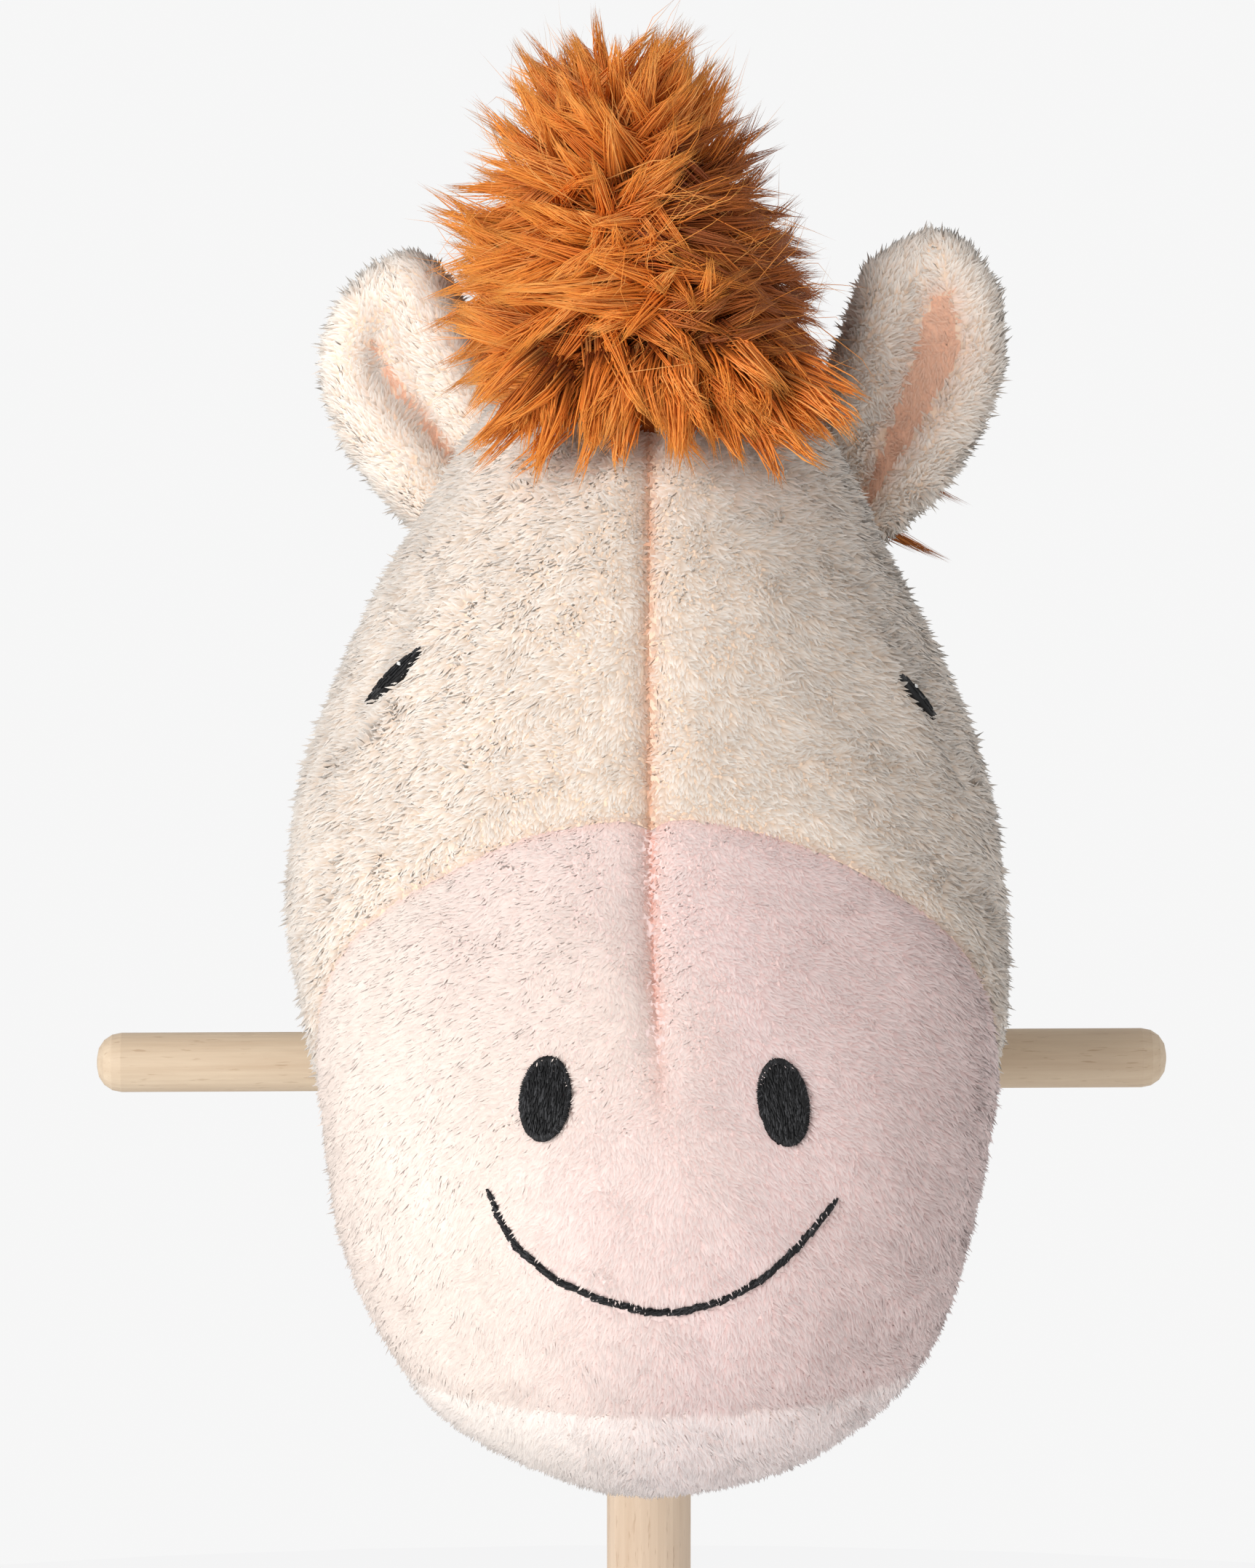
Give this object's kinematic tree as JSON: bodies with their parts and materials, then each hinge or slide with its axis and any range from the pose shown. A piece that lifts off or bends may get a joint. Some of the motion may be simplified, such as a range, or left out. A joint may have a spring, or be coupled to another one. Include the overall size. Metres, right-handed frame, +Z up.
{
  "type": "hobby horse",
  "caption": "Plush horse head with a furry mane, tied over the top of a wooden stick with a cross handle for a child to ride.",
  "frame": {"origin": "middle of the flat end of the stick, where it stands on the floor", "axes": "+Z up along the stick, the horse looks along -Y, +X is on the viewer's right when the horse is seen from the front"},
  "size_m": [0.252, 0.2225, 0.8003],
  "materials": {
    "stick_wood": "sanded pale beech dowel, unvarnished",
    "handle_wood": "sanded pale beech dowel, unvarnished",
    "screw_steel": "zinc-plated steel",
    "cream_plush": "cream short-pile plush, clumpy",
    "pink_plush": "pale pink short-pile plush, smooth",
    "chin_plush": "paler pink short-pile plush",
    "ear_lining_cloth": "peach pink brushed cloth",
    "mane_fur": "long-pile orange faux fur",
    "black_thread": "black satin-stitch thread",
    "white_thread": "white thread",
    "fibre_fill": "loose polyester fibre fill",
    "cotton_cord": "thin cotton cord"
  },
  "bodies": {
    "root": {"stick": "stick_wood", "handle": "handle_wood", "handle_screw": "screw_steel", "face_panel_left": "cream_plush", "face_panel_right": "cream_plush", "muzzle_panel": "pink_plush", "chin_panel": "chin_plush", "neck_panel_left": "cream_plush", "neck_panel_right": "cream_plush", "ear_back_left": "cream_plush", "ear_back_right": "cream_plush", "ear_lining_left": "ear_lining_cloth", "ear_lining_right": "ear_lining_cloth", "forelock": "mane_fur", "crest_mane": "mane_fur", "eye_left": "black_thread", "eye_right": "black_thread", "eye_highlight_left": "white_thread", "eye_highlight_right": "white_thread", "nostril_left": "black_thread", "nostril_right": "black_thread", "mouth_line": "black_thread", "head_stuffing": "fibre_fill", "neck_stuffing": "fibre_fill", "neck_tie": "cotton_cord"}
  },
  "joints": []
}
